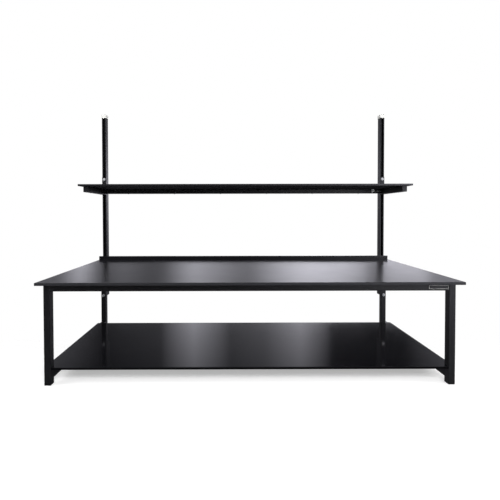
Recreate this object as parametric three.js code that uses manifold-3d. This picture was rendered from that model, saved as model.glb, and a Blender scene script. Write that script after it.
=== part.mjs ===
// Long laboratory bench: tube frame, laminate worktop and lower deck, and one shelf on slotted uprights.
// Millimetres, +Z up, front towards -Y, origin on the floor under the middle of the whole bench.

import * as THREE from 'three';
import { mergeVertices } from 'three/addons/utils/BufferGeometryUtils.js';
import Module from 'manifold-3d';

const wasm = await Module();
wasm.setup();

// Gap left between pieces that touch
const fitGap = 0.3;

// Worktop and backstop
const worktopLength = 3657.6;
const worktopDepth = 1504.7;
const worktopThickness = 25.4;
const worktopTop = 914.4;
const backstopThickness = 19;
const backstopRise = 44.45;

// Frame under the worktop
const legWidth = 57.15;
const legDepth = 63.5;
const apronHeight = 63.5;
const apronDepth = 50.8;
const topRailHeight = 63.5;
const tubeWall = 2.1;
const tubeCorner = 4;
const frontOverhang = 76.2;
const sideOverhang = 38.1;
const crossSupportWidth = 38.1;
const crossSupportHeight = 50.8;
const crossSupportPitch = 870;

// Lower deck and what carries it
const deckTop = 160.7;
const deckThickness = 20.6;
const deckDepth = 1263.3;
const deckNotchClearance = 1.5;
const lowerRailHeight = 88.9;
const stringerWidth = 50.8;
const stringerHeight = 50.8;
const stringerInset = 150;

// Levelling feet and the inserts they screw into
const footPadRadius = 22;
const footPadHeight = 3.2;
const footPadChamfer = 1;
const footStemRadius = 5;
const footStemLength = 60;
const insertLength = 30;

// Slotted uprights
const uprightWidth = 50.8;
const uprightDepth = 82.55;
const uprightWall = 2.7;
const uprightLength = 2286;
const uprightLap = 431.8;
const slotWidth = 22.2;
const lipReturn = 7;

// White caps on the uprights
const capWall = 2.5;
const capTopThickness = 4;
const capSkirt = 36;
const capCorner = 3;
const capTabRadius = 9;

// Bolts and channel nuts
const boltRadius = 6;
const boltFlangeRadius = 18;
const boltFlangeThickness = 2.5;
const boltHeadFlats = 19;
const boltHeadHeight = 7.5;
const boltEndLength = 4;
const nutHeight = 22;
const nutThickness = 9;
const nutSideClearance = 1;
const lowerBoltEndDistance = 12.7;
const upperBoltDrop = 55;

// Shelf, its arms and beam
const shelfRise = 906.6;
const shelfThickness = 20.6;
const shelfDepth = 631;
const armHeight = 63.5;
const armSetback = 50.8;
const armFrontWall = 3;
const plateWidth = 50.8;
const plateThickness = 6.35;
const plateRise = 138;
const lowerShelfBoltRise = 27;
const upperShelfBoltRise = 109;
const beamHeight = 53.975;
const beamDepth = 38.1;
const cleatLength = 118;
const cleatSide = 40;
const cleatHeight = 26;
const cleatThickness = 4.8;

// Blank nameplate on the right end of the front apron
const nameplateLength = 172;
const nameplateHeight = 34;
const nameplateThickness = 0.8;
const nameplateCorner = 5;
const nameplateEndGap = 7;

// Segments of round pieces and tube corners
const roundSegments = 24;
const cornerSegments = 1;

// Places worked out from the sizes, measured from the worktop's front edge, the middle and the floor
const legOuterX = worktopLength / 2 - sideOverhang;
const legInnerX = legOuterX - legWidth;
const legX = legOuterX - legWidth / 2;
const legBottom = footPadHeight + fitGap;
const worktopBottom = worktopTop - worktopThickness;
const legTop = worktopBottom - fitGap;
const legHeight = legTop - legBottom;
const frontLegY = frontOverhang + legDepth / 2;
const rearFaceY = worktopDepth + fitGap + backstopThickness;
const rearLegY = rearFaceY - legDepth / 2;
const rearLegFrontY = rearFaceY - legDepth;
const apronBottom = legTop - apronHeight;
const deckBottom = deckTop - deckThickness;
const lowerRailTop = deckBottom - fitGap;
const uprightX = legX;
const uprightFrontY = rearFaceY + fitGap;
const uprightBottom = legTop - uprightLap;
const uprightTop = uprightBottom + uprightLength;
const overallDepth = uprightFrontY + uprightDepth + fitGap + capWall;
const shelfTop = worktopTop + shelfRise;
const shelfBottom = shelfTop - shelfThickness;
const plateFrontY = uprightFrontY - fitGap - plateThickness;
const shelfRearY = plateFrontY - fitGap;
const shelfFrontY = shelfRearY - shelfDepth;
const armTop = shelfBottom - fitGap;
const armBottom = armTop - armHeight;
const armInnerX = uprightX - uprightWidth / 2;

const sides = [
  { name: 'left', sign: -1 },
  { name: 'right', sign: 1 },
];

// Finishes
function powderCoat() {
  return new THREE.MeshStandardMaterial({ color: 0x1a1a1c, roughness: 0.5, metalness: 0.0 });
}

function blackLaminate() {
  return new THREE.MeshStandardMaterial({ color: 0x232326, roughness: 0.35, metalness: 0.0 });
}

function zincPlate() {
  return new THREE.MeshStandardMaterial({ color: 0xc4c6c8, roughness: 0.35, metalness: 1.0 });
}

function whitePlastic() {
  return new THREE.MeshStandardMaterial({ color: 0xf1f1ee, roughness: 0.55, metalness: 0.0 });
}

function blackPlastic() {
  return new THREE.MeshStandardMaterial({ color: 0x151516, roughness: 0.6, metalness: 0.0 });
}

function place(parent, name, geometry, finish, x, y, z) {
  const mesh = new THREE.Mesh(geometry, finish);
  mesh.name = name;
  mesh.position.set(x, y, z);
  parent.add(mesh);
  return mesh;
}

// Joining and cutting of closed meshes
function toSolid(geometry) {
  const bare = geometry.clone();
  bare.deleteAttribute('normal');
  bare.deleteAttribute('uv');
  const merged = mergeVertices(bare);
  const vertProperties = new Float32Array(merged.attributes.position.array);
  const triVerts = new Uint32Array(merged.index.array);
  return new wasm.Manifold(new wasm.Mesh({ numProp: 3, vertProperties, triVerts }));
}

function toGeometry(solid) {
  const mesh = solid.getMesh();
  const geometry = new THREE.BufferGeometry();
  geometry.setAttribute('position', new THREE.BufferAttribute(mesh.vertProperties, 3));
  geometry.setIndex(new THREE.BufferAttribute(mesh.triVerts, 1));
  geometry.computeVertexNormals();
  return geometry;
}

// Outlines and bars
function roundedRect(path, width, height, radius) {
  const x = width / 2 - radius;
  const y = height / 2 - radius;
  path.absarc(x, y, radius, 0, Math.PI / 2);
  path.absarc(-x, y, radius, Math.PI / 2, Math.PI);
  path.absarc(-x, -y, radius, Math.PI, 1.5 * Math.PI);
  path.absarc(x, -y, radius, 1.5 * Math.PI, 2 * Math.PI);
  return path;
}

function extrudeCentred(shape, length, curveSegments) {
  const geometry = new THREE.ExtrudeGeometry(shape, { depth: length, bevelEnabled: false, curveSegments });
  return geometry.translate(0, 0, -length / 2);
}

// Rectangular tube along z, centred, open at both ends
function tubeAlongZ(width, depth, length) {
  const shape = roundedRect(new THREE.Shape(), width, depth, tubeCorner);
  const boreCorner = tubeCorner - tubeWall;
  const bore = roundedRect(new THREE.Path(), width - 2 * tubeWall, depth - 2 * tubeWall, boreCorner);
  shape.holes.push(bore);
  return extrudeCentred(shape, length, cornerSegments);
}

function tubeAlongY(width, height, length) {
  return tubeAlongZ(width, height, length).rotateX(Math.PI / 2);
}

function tubeAlongX(depth, height, length) {
  return tubeAlongZ(height, depth, length).rotateY(Math.PI / 2);
}

// Flat bar standing in the x-z plane, with round holes through it along y
function drilledBar(width, height, thickness, holes, holeRadius) {
  const shape = new THREE.Shape();
  shape.moveTo(-width / 2, -height / 2);
  shape.lineTo(width / 2, -height / 2);
  shape.lineTo(width / 2, height / 2);
  shape.lineTo(-width / 2, height / 2);
  for (const z of holes) {
    const hole = new THREE.Path();
    hole.absarc(0, z, holeRadius, 0, 2 * Math.PI);
    shape.holes.push(hole);
  }
  return extrudeCentred(shape, thickness, roundSegments / 2).rotateX(Math.PI / 2);
}

// Flanged hex bolt along +y, its seat at y = 0
function flangedBolt(shankLength) {
  const headRadius = boltHeadFlats / Math.sqrt(3);
  const headLength = boltFlangeThickness + boltHeadHeight;
  const head = new THREE.CylinderGeometry(headRadius, headRadius, headLength, 6);
  head.translate(0, -headLength / 2, 0);
  const flangeRadius = boltFlangeRadius;
  const flange = new THREE.CylinderGeometry(flangeRadius, flangeRadius, boltFlangeThickness, roundSegments);
  flange.translate(0, -boltFlangeThickness / 2, 0);
  const shankReach = shankLength + boltFlangeThickness;
  const shank = new THREE.CylinderGeometry(boltRadius, boltRadius, shankReach, roundSegments);
  shank.translate(0, shankLength - shankReach / 2, 0);
  return toGeometry(toSolid(head).add(toSolid(flange)).add(toSolid(shank)));
}

// Channel nut: sits behind the upright's lips
const nutWidth = uprightWidth - 2 * uprightWall - 2 * nutSideClearance;
const nutFrontY = uprightFrontY + lipReturn + fitGap;

function channelNut() {
  return drilledBar(nutWidth, nutHeight, nutThickness, [0], boltRadius + fitGap);
}

function boltReachFrom(seatY) {
  return nutFrontY + nutThickness + boltEndLength - seatY;
}

// Worktop with its backstop on the rear edge
function addWorktop(bench) {
  const panel = new THREE.BoxGeometry(worktopLength, worktopDepth, worktopThickness);
  place(bench, 'worktop', panel, blackLaminate(), 0, worktopDepth / 2, worktopTop - worktopThickness / 2);
  const backstopHeight = worktopThickness + backstopRise;
  const board = new THREE.BoxGeometry(worktopLength, backstopThickness, backstopHeight);
  const boardY = rearFaceY - backstopThickness / 2;
  place(bench, 'backstop', board, blackLaminate(), 0, boardY, worktopBottom + backstopHeight / 2);
}

// Legs: the rear pair is drilled for the bolts that hold the uprights
const lowerBoltZ = uprightBottom + lowerBoltEndDistance;
const upperBoltZ = apronBottom - upperBoltDrop;

function rearLegGeometry(drillX) {
  let leg = toSolid(tubeAlongZ(legWidth, legDepth, legHeight));
  const drillRadius = boltRadius + fitGap;
  const drill = new THREE.CylinderGeometry(drillRadius, drillRadius, 2 * legDepth, roundSegments);
  const legMiddleZ = legBottom + legHeight / 2;
  for (const boltZ of [lowerBoltZ, upperBoltZ]) {
    leg = leg.subtract(toSolid(drill.clone().translate(drillX, 0, boltZ - legMiddleZ)));
  }
  return toGeometry(leg);
}

function addLegs(bench) {
  const legZ = legBottom + legHeight / 2;
  for (const side of sides) {
    const x = side.sign * legX;
    const front = tubeAlongZ(legWidth, legDepth, legHeight);
    place(bench, `front_${side.name}_leg`, front, powderCoat(), x, frontLegY, legZ);
    const rear = rearLegGeometry(side.sign * (uprightX - legX));
    place(bench, `rear_${side.name}_leg`, rear, powderCoat(), x, rearLegY, legZ);
  }
}

// Aprons, top side rails and cross supports under the worktop
function addTopFrame(bench) {
  const apronLength = 2 * (legInnerX - fitGap);
  const apronZ = legTop - apronHeight / 2;
  const frontApronY = frontOverhang + apronDepth / 2;
  const rearApronY = rearFaceY - apronDepth / 2;
  const apron = () => tubeAlongX(apronDepth, apronHeight, apronLength);
  place(bench, 'front_apron', apron(), powderCoat(), 0, frontApronY, apronZ);
  place(bench, 'rear_apron', apron(), powderCoat(), 0, rearApronY, apronZ);

  const railFrontY = frontOverhang + legDepth + fitGap;
  const railRearY = rearLegFrontY - fitGap;
  const railLength = railRearY - railFrontY;
  const railY = (railFrontY + railRearY) / 2;
  for (const side of sides) {
    const rail = tubeAlongY(legWidth, topRailHeight, railLength);
    const railZ = legTop - topRailHeight / 2;
    place(bench, `${side.name}_top_rail`, rail, powderCoat(), side.sign * legX, railY, railZ);
  }

  const supportFrontY = frontOverhang + apronDepth + fitGap;
  const supportRearY = rearFaceY - apronDepth - fitGap;
  const supportY = (supportFrontY + supportRearY) / 2;
  const supportZ = legTop - crossSupportHeight / 2;
  const supportNames = ['left', 'middle', 'right'];
  supportNames.forEach((name, i) => {
    const support = tubeAlongY(crossSupportWidth, crossSupportHeight, supportRearY - supportFrontY);
    const x = (i - 1) * crossSupportPitch;
    place(bench, `${name}_cross_support`, support, powderCoat(), x, supportY, supportZ);
  });
}

// Lower deck, notched round the front legs, on side rails and stringers
function addDeck(bench) {
  const notchX = legInnerX - deckNotchClearance;
  const notchY = legDepth + deckNotchClearance;
  const outline = new THREE.Shape();
  outline.moveTo(-notchX, 0);
  outline.lineTo(notchX, 0);
  outline.lineTo(notchX, notchY);
  outline.lineTo(legOuterX, notchY);
  outline.lineTo(legOuterX, deckDepth);
  outline.lineTo(-legOuterX, deckDepth);
  outline.lineTo(-legOuterX, notchY);
  outline.lineTo(-notchX, notchY);
  const deck = extrudeCentred(outline, deckThickness, 1);
  place(bench, 'lower_deck', deck, blackLaminate(), 0, frontOverhang, deckTop - deckThickness / 2);

  const railFrontY = frontOverhang + legDepth + fitGap;
  const railRearY = rearLegFrontY - fitGap;
  const railZ = lowerRailTop - lowerRailHeight / 2;
  for (const side of sides) {
    const rail = tubeAlongY(legWidth, lowerRailHeight, railRearY - railFrontY);
    const railY = (railFrontY + railRearY) / 2;
    place(bench, `${side.name}_lower_rail`, rail, powderCoat(), side.sign * legX, railY, railZ);
  }

  const frontY = frontOverhang + stringerInset + stringerWidth / 2;
  const rearY = frontOverhang + deckDepth - stringerInset - stringerWidth / 2;
  const stringerRows = { front: frontY, middle: (frontY + rearY) / 2, rear: rearY };
  const stringerZ = lowerRailTop - stringerHeight / 2;
  for (const [row, y] of Object.entries(stringerRows)) {
    const stringer = tubeAlongX(stringerWidth, stringerHeight, 2 * (legInnerX - fitGap));
    place(bench, `${row}_deck_stringer`, stringer, powderCoat(), 0, y, stringerZ);
  }
}

// Levelling feet: a pad and threaded stem in one, in an insert that fills the leg's lower end
function footGeometry() {
  const stemTop = footPadHeight + footStemLength;
  const profile = [
    new THREE.Vector2(0, 0),
    new THREE.Vector2(footPadRadius - footPadChamfer, 0),
    new THREE.Vector2(footPadRadius, footPadChamfer),
    new THREE.Vector2(footPadRadius, footPadHeight),
    new THREE.Vector2(footStemRadius, footPadHeight),
    new THREE.Vector2(footStemRadius, stemTop),
    new THREE.Vector2(0, stemTop),
  ];
  return new THREE.LatheGeometry(profile, roundSegments).rotateX(Math.PI / 2);
}

function insertGeometry() {
  const width = legWidth - 2 * tubeWall - 2 * fitGap;
  const depth = legDepth - 2 * tubeWall - 2 * fitGap;
  const shape = roundedRect(new THREE.Shape(), width, depth, tubeCorner - tubeWall);
  const bore = new THREE.Path();
  bore.absarc(0, 0, footStemRadius + fitGap, 0, 2 * Math.PI);
  shape.holes.push(bore);
  return extrudeCentred(shape, insertLength, roundSegments / 2);
}

function addFeet(bench) {
  const rows = { front: frontLegY, rear: rearLegY };
  for (const [row, y] of Object.entries(rows)) {
    for (const side of sides) {
      const x = side.sign * legX;
      const insertZ = legBottom + insertLength / 2;
      place(bench, `${row}_${side.name}_foot_insert`, insertGeometry(), blackPlastic(), x, y, insertZ);
      place(bench, `${row}_${side.name}_levelling_foot`, footGeometry(), zincPlate(), x, y, 0);
    }
  }
}

// Slotted upright: a lipped channel, open to the front, its front face at y = 0
function uprightGeometry() {
  const half = uprightWidth / 2;
  const inner = half - uprightWall;
  const slot = slotWidth / 2;
  const lipBack = slot + uprightWall;
  const back = uprightDepth - uprightWall;
  const rightHalf = [
    [half, 0],
    [slot, 0],
    [slot, lipReturn],
    [lipBack, lipReturn],
    [lipBack, uprightWall],
    [inner, uprightWall],
    [inner, back],
  ];
  const outline = new THREE.Shape();
  outline.moveTo(half, uprightDepth);
  for (const [x, y] of rightHalf) {
    outline.lineTo(x, y);
  }
  for (const [x, y] of rightHalf.toReversed()) {
    outline.lineTo(-x, y);
  }
  outline.lineTo(-half, uprightDepth);
  return new THREE.ExtrudeGeometry(outline, { depth: uprightLength, bevelEnabled: false });
}

// Cap: a skirt round the upright's top with a round tab hanging over the slot
function capGeometry() {
  const cavityWidth = uprightWidth + 2 * fitGap;
  const cavityDepth = uprightDepth + 2 * fitGap;
  const outerWidth = cavityWidth + 2 * capWall;
  const outerDepth = cavityDepth + 2 * capWall;
  const height = capSkirt + fitGap + capTopThickness;
  const outline = roundedRect(new THREE.Shape(), outerWidth, outerDepth, capCorner);
  const shell = extrudeCentred(outline, height, cornerSegments);
  const cavity = new THREE.BoxGeometry(cavityWidth, cavityDepth, height);
  cavity.translate(0, 0, -capTopThickness);
  const tab = new THREE.CylinderGeometry(capTabRadius, capTabRadius, capWall, roundSegments);
  tab.translate(0, (capWall - outerDepth) / 2, -height / 2);
  return toGeometry(toSolid(shell).subtract(toSolid(cavity)).add(toSolid(tab)));
}

function addUprights(bench) {
  const capHeight = capSkirt + fitGap + capTopThickness;
  const capZ = uprightTop + fitGap + capTopThickness - capHeight / 2;
  const legBoltReach = boltReachFrom(rearLegFrontY);
  for (const side of sides) {
    const stand = new THREE.Group();
    stand.position.x = side.sign * uprightX;
    bench.add(stand);
    place(stand, `${side.name}_upright`, uprightGeometry(), powderCoat(), 0, uprightFrontY, uprightBottom);
    const capY = uprightFrontY + uprightDepth / 2;
    place(stand, `${side.name}_upright_cap`, capGeometry(), whitePlastic(), 0, capY, capZ);
    for (const [level, z] of Object.entries({ lower: lowerBoltZ, upper: upperBoltZ })) {
      const bolt = flangedBolt(legBoltReach);
      place(stand, `${side.name}_${level}_leg_bolt`, bolt, zincPlate(), 0, rearLegFrontY - fitGap, z);
      const nutY = nutFrontY + nutThickness / 2;
      place(stand, `${side.name}_${level}_leg_nut`, channelNut(), zincPlate(), 0, nutY, z);
    }
  }
}

// Shelf arm: tube closed at the front, open at the back where its plate stands
function armGeometry() {
  const armLength = shelfDepth - armSetback;
  const bar = new THREE.BoxGeometry(uprightWidth, armLength, armHeight);
  const hollow = new THREE.BoxGeometry(uprightWidth - 2 * tubeWall, armLength, armHeight - 2 * tubeWall);
  hollow.translate(0, armFrontWall, 0);
  return toGeometry(toSolid(bar).subtract(toSolid(hollow)));
}

// Angle cleat in the corner between arm and beam, its corner at the origin
function cleatGeometry(sign) {
  const outline = new THREE.Shape();
  outline.moveTo(0, 0);
  outline.lineTo(-sign * cleatLength, 0);
  outline.lineTo(-sign * cleatLength, -cleatThickness);
  outline.lineTo(-sign * cleatThickness, -cleatThickness);
  outline.lineTo(-sign * cleatThickness, -cleatSide);
  outline.lineTo(0, -cleatSide);
  return extrudeCentred(outline, cleatHeight, 1);
}

function addShelf(bench) {
  const panel = new THREE.BoxGeometry(worktopLength, shelfDepth, shelfThickness);
  const panelY = shelfRearY - shelfDepth / 2;
  place(bench, 'shelf_panel', panel, blackLaminate(), 0, panelY, shelfTop - shelfThickness / 2);

  const beamY = shelfRearY - beamDepth / 2;
  const beam = tubeAlongX(beamDepth, beamHeight, 2 * (armInnerX - fitGap));
  place(bench, 'shelf_rear_beam', beam, powderCoat(), 0, beamY, armTop - beamHeight / 2);

  const plateHeight = shelfTop + plateRise - armBottom;
  const plateZ = armBottom + plateHeight / 2;
  const boltHeights = { lower: shelfTop + lowerShelfBoltRise, upper: shelfTop + upperShelfBoltRise };
  const plateHoles = Object.values(boltHeights).map((z) => z - plateZ);
  for (const side of sides) {
    const bracket = new THREE.Group();
    bracket.position.x = side.sign * uprightX;
    bench.add(bracket);
    const armY = (shelfFrontY + armSetback + shelfRearY) / 2;
    place(bracket, `${side.name}_shelf_arm`, armGeometry(), powderCoat(), 0, armY, armTop - armHeight / 2);
    const plate = drilledBar(plateWidth, plateHeight, plateThickness, plateHoles, boltRadius + fitGap);
    const plateY = plateFrontY + plateThickness / 2;
    place(bracket, `${side.name}_arm_plate`, plate, powderCoat(), 0, plateY, plateZ);
    for (const [level, z] of Object.entries(boltHeights)) {
      const bolt = flangedBolt(boltReachFrom(plateFrontY));
      place(bracket, `${side.name}_${level}_shelf_bolt`, bolt, zincPlate(), 0, plateFrontY - fitGap, z);
      const nutY = nutFrontY + nutThickness / 2;
      place(bracket, `${side.name}_${level}_shelf_nut`, channelNut(), zincPlate(), 0, nutY, z);
    }
    const cleatX = side.sign * (armInnerX - fitGap);
    const cleatY = shelfRearY - beamDepth - fitGap;
    const cleatZ = armTop - cleatHeight / 2;
    place(bench, `${side.name}_beam_cleat`, cleatGeometry(side.sign), powderCoat(), cleatX, cleatY, cleatZ);
  }
}

// Blank nameplate: a thin plate with round corners on the apron's front face
function addNameplate(bench) {
  const outline = roundedRect(new THREE.Shape(), nameplateLength, nameplateHeight, nameplateCorner);
  const plate = extrudeCentred(outline, nameplateThickness, cornerSegments).rotateX(Math.PI / 2);
  const x = legInnerX - nameplateEndGap - nameplateLength / 2;
  const y = frontOverhang - fitGap - nameplateThickness / 2;
  place(bench, 'blank_nameplate', plate, blackPlastic(), x, y, legTop - apronHeight / 2);
}

const bench = new THREE.Group();
bench.name = 'lab_bench';
bench.position.y = -overallDepth / 2;
addWorktop(bench);
addLegs(bench);
addTopFrame(bench);
addDeck(bench);
addFeet(bench);
addUprights(bench);
addShelf(bench);
addNameplate(bench);

export default bench;
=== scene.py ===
import math

import bmesh
import bpy
from mathutils import Matrix, Vector


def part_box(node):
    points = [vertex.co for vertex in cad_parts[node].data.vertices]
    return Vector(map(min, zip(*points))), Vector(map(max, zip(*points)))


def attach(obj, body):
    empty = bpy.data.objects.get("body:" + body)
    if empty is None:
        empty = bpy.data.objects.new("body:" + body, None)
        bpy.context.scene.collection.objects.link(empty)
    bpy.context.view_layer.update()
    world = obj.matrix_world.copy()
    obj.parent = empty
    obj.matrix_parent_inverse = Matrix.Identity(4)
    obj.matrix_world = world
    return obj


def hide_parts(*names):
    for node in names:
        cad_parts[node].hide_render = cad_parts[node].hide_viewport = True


# Long laboratory bench: black tube frame, laminate boards, slotted uprights and a sliding shelf.
# Metres, +Z up, the front towards -Y. Every length below is in millimetres unless its note says otherwise.
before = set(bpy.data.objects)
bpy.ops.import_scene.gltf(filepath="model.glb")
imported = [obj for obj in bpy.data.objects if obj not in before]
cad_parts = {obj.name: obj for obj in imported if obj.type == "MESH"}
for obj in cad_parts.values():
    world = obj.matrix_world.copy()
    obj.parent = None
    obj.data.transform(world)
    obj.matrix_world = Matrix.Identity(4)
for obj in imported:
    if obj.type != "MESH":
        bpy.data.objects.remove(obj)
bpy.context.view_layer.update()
scene = bpy.context.scene
mm = 0.001
sides = ("left", "right")


# Colours, nodes and materials

noiseSpan = (0.3, 0.7)  # nearly all values of a noise texture lie between these


def linear(hexColour):  # sRGB hex to the linear colour that the shader takes
    shares = [int(hexColour[i:i + 2], 16) / 255 for i in (1, 3, 5)]
    return [s / 12.92 if s <= 0.04045 else ((s + 0.055) / 1.055) ** 2.4 for s in shares] + [1.0]


def perMetre(size):  # texture scale for a pattern of that size in millimetres
    return 1000 / size


def addNode(tree, kind, settings=None, links=None):
    made = tree.nodes.new(kind)
    for key, value in (settings or {}).items():
        if isinstance(key, str) and hasattr(made, key):
            setattr(made, key, value)
        else:
            made.inputs[key].default_value = value
    for key, source in (links or {}).items():
        tree.links.new(source, made.inputs[key])
    return made


def startMaterial(name):
    material = bpy.data.materials.new(name)
    material.use_nodes = True
    tree = material.node_tree
    place = addNode(tree, "ShaderNodeTexCoord").outputs["Object"]
    return material, tree, tree.nodes["Principled BSDF"], place


laminate = {
    "colour": "#0b0b0e", "cloudColour": "#111115",
    "cloud": 260, "pebble": 5, "bump": 0.08, "relief": 0.2,
    "roughness": {"black satin laminate": (0.085, 0.105), "black phenolic resin": (0.28, 0.30)},
}


def pressedSheet(name):
    # black sheet pressed against a satin plate: a soft glare at low angles, near black from above;
    # the resin worktop is duller than the laminate of the boards, so its glare is drawn out further
    material, tree, shader, place = startMaterial(name)
    cloud = addNode(tree, "ShaderNodeTexNoise",
                    {"Scale": perMetre(laminate["cloud"]), "Detail": 4, "Roughness": 0.6},
                    {"Vector": place})
    # the real pebble is about 1 mm; it is drawn coarser so that it shows
    pebble = addNode(tree, "ShaderNodeTexNoise",
                     {"Scale": perMetre(laminate["pebble"]), "Detail": 2}, {"Vector": place})
    tint = addNode(tree, "ShaderNodeMix",
                   {"data_type": "RGBA", 6: linear(laminate["colour"]), 7: linear(laminate["cloudColour"])},
                   {0: cloud.outputs["Fac"]})
    gloss = addNode(tree, "ShaderNodeMapRange",
                    dict(enumerate(noiseSpan + laminate["roughness"][name], 1)), {0: cloud.outputs["Fac"]})
    bump = addNode(tree, "ShaderNodeBump",
                   {"Strength": laminate["bump"], "Distance": laminate["relief"] * mm},
                   {"Height": pebble.outputs["Fac"]})
    tree.links.new(tint.outputs[2], shader.inputs["Base Color"])
    tree.links.new(gloss.outputs[0], shader.inputs["Roughness"])
    tree.links.new(bump.outputs[0], shader.inputs["Normal"])
    return material


boardEdges = {  # colours, streak length and height, roughness, specular level, bump
    "black ABS edge band": ("#101012", "#17171a", (400, 3), 0.24, 0.5, 0.08),
    "sanded resin edge": ("#1e1e21", "#27272b", (60, 1.5), 0.5, 0.5, 0.15),
    # the deck's edge: near black and dull, a painted shade for the worktop's shadow on it
    "near-black edge as painted shade": ("#040405", "#08080a", (120, 4), 0.8, 0.08, 0.1),
}
streakRelief = 0.1


def edgeFinish(name):
    # band: extruded and buffed, with faint draw lines; resin: sanded bare, greyer than the pressed face;
    # the deck's edge: near black and dull, drawn darker than the other edges as painted shade where the
    # worktop shades it
    colour, streakColour, (length, height), roughness, specular, bumpStrength = boardEdges[name]
    material, tree, shader, place = startMaterial(name)
    stretch = addNode(tree, "ShaderNodeMapping",
                      {"Scale": (perMetre(length), perMetre(length), perMetre(height))}, {"Vector": place})
    streak = addNode(tree, "ShaderNodeTexNoise", {"Scale": 1.0, "Detail": 3},
                     {"Vector": stretch.outputs[0]})
    tint = addNode(tree, "ShaderNodeMix",
                   {"data_type": "RGBA", 6: linear(colour), 7: linear(streakColour)},
                   {0: streak.outputs["Fac"]})
    bump = addNode(tree, "ShaderNodeBump", {"Strength": bumpStrength, "Distance": streakRelief * mm},
                   {"Height": streak.outputs["Fac"]})
    tree.links.new(tint.outputs[2], shader.inputs["Base Color"])
    tree.links.new(bump.outputs[0], shader.inputs["Normal"])
    shader.inputs["Roughness"].default_value = roughness
    shader.inputs["Specular IOR Level"].default_value = specular
    return material


backer = {"colour": "#27272a", "fibreColour": "#323236", "fibre": 4, "roughness": 0.9, "specular": 0.04}


def backerSheet():
    # black balancing sheet glued under the boards: raw, dull paper
    material, tree, shader, place = startMaterial("black backer sheet")
    fibre = addNode(tree, "ShaderNodeTexNoise",
                    {"Scale": perMetre(backer["fibre"]), "Detail": 4}, {"Vector": place})
    tint = addNode(tree, "ShaderNodeMix",
                   {"data_type": "RGBA", 6: linear(backer["colour"]), 7: linear(backer["fibreColour"])},
                   {0: fibre.outputs["Fac"]})
    tree.links.new(tint.outputs[2], shader.inputs["Base Color"])
    shader.inputs["Roughness"].default_value = backer["roughness"]
    shader.inputs["Specular IOR Level"].default_value = backer["specular"]
    return material


coat = {
    "colour": "#0d0d0f", "dustColour": "#131315",
    "peel": 6, "cloud": 140,
    "roughness": (0.37, 0.43), "specular": 0.5, "bump": 0.06, "relief": 0.3,
}


def powderCoat():
    # black polyester powder coat, baked on steel: semi-gloss with orange peel
    material, tree, shader, place = startMaterial("black powder coat")
    # real orange peel is about 2 mm; it is drawn coarser so that it shows
    peel = addNode(tree, "ShaderNodeTexNoise",
                   {"Scale": perMetre(coat["peel"]), "Detail": 1}, {"Vector": place})
    cloud = addNode(tree, "ShaderNodeTexNoise",
                    {"Scale": perMetre(coat["cloud"]), "Detail": 5, "Roughness": 0.65}, {"Vector": place})
    tint = addNode(tree, "ShaderNodeMix",
                   {"data_type": "RGBA", 6: linear(coat["colour"]), 7: linear(coat["dustColour"])},
                   {0: cloud.outputs["Fac"]})
    gloss = addNode(tree, "ShaderNodeMapRange", dict(enumerate(noiseSpan + coat["roughness"], 1)),
                    {0: cloud.outputs["Fac"]})
    bump = addNode(tree, "ShaderNodeBump", {"Strength": coat["bump"], "Distance": coat["relief"] * mm},
                   {"Height": peel.outputs["Fac"]})
    tree.links.new(tint.outputs[2], shader.inputs["Base Color"])
    tree.links.new(gloss.outputs[0], shader.inputs["Roughness"])
    tree.links.new(bump.outputs[0], shader.inputs["Normal"])
    shader.inputs["Specular IOR Level"].default_value = coat["specular"]
    return material


zinc = {
    "colour": "#d6d7d8", "blueColour": "#bfc2c6", "blotch": 9,
    "roughness": (0.45, 0.55), "metallic": 0.45,
}


def zincFlake():
    # steel dipped in zinc flakes and baked: pale grey, part metal and part binder, faintly blotched
    material, tree, shader, place = startMaterial("baked zinc flake")
    blotch = addNode(tree, "ShaderNodeTexNoise",
                     {"Scale": perMetre(zinc["blotch"]), "Detail": 4, "Roughness": 0.6}, {"Vector": place})
    tint = addNode(tree, "ShaderNodeMix",
                   {"data_type": "RGBA", 6: linear(zinc["colour"]), 7: linear(zinc["blueColour"])},
                   {0: blotch.outputs["Fac"]})
    gloss = addNode(tree, "ShaderNodeMapRange", dict(enumerate(noiseSpan + zinc["roughness"], 1)),
                    {0: blotch.outputs["Fac"]})
    tree.links.new(tint.outputs[2], shader.inputs["Base Color"])
    tree.links.new(gloss.outputs[0], shader.inputs["Roughness"])
    shader.inputs["Metallic"].default_value = zinc["metallic"]
    return material


capPlastic = {
    "colour": "#ededea", "shadeColour": "#e2e2de", "cloud": 25, "grain": 1.5,
    "roughness": 0.5, "bump": 0.1, "relief": 0.05,
}


def mouldedPolyethylene():
    # white polyethylene, injection moulded in a spark-eroded tool: matt, waxy white
    material, tree, shader, place = startMaterial("white moulded polyethylene")
    cloud = addNode(tree, "ShaderNodeTexNoise",
                    {"Scale": perMetre(capPlastic["cloud"]), "Detail": 3}, {"Vector": place})
    # the tool's real grain is about 0.2 mm; it is drawn coarser so that it shows
    grain = addNode(tree, "ShaderNodeTexNoise",
                    {"Scale": perMetre(capPlastic["grain"]), "Detail": 2}, {"Vector": place})
    colour, shadeColour = linear(capPlastic["colour"]), linear(capPlastic["shadeColour"])
    tint = addNode(tree, "ShaderNodeMix", {"data_type": "RGBA", 6: colour, 7: shadeColour},
                   {0: cloud.outputs["Fac"]})
    bump = addNode(tree, "ShaderNodeBump",
                   {"Strength": capPlastic["bump"], "Distance": capPlastic["relief"] * mm},
                   {"Height": grain.outputs["Fac"]})
    tree.links.new(tint.outputs[2], shader.inputs["Base Color"])
    tree.links.new(bump.outputs[0], shader.inputs["Normal"])
    shader.inputs["Roughness"].default_value = capPlastic["roughness"]
    return material


nylon = {"colour": "#141415", "grainColour": "#1e1e20", "grain": 2, "roughness": 0.62}


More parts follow.
